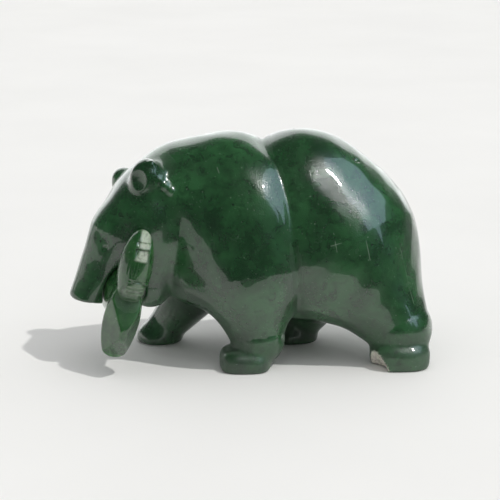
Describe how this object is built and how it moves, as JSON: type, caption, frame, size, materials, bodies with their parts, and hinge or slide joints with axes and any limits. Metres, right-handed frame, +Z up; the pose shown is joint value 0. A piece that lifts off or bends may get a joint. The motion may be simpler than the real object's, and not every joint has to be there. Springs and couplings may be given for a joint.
{
  "type": "carved bear figurine",
  "caption": "Walking bear carved in polished dark green jade, carrying a lighter jade fish across its open mouth, standing freely on four flat soles.",
  "frame": {"origin": "on the ground under the middle of the carving's box, midway along and across", "axes": "+Z up from the soles; +X from the nose to the rump; the bear's left side, with the fish's tail, faces -Y"},
  "size_m": [0.1008, 0.049, 0.065],
  "materials": {
    "dark_jade": "polished nephrite jade, dark green, with fine scratches and matter valleys",
    "pale_jade": "polished nephrite jade, lighter green and more see-through"
  },
  "bodies": {
    "root": {"bear": "dark_jade", "fish": "pale_jade"}
  },
  "joints": []
}
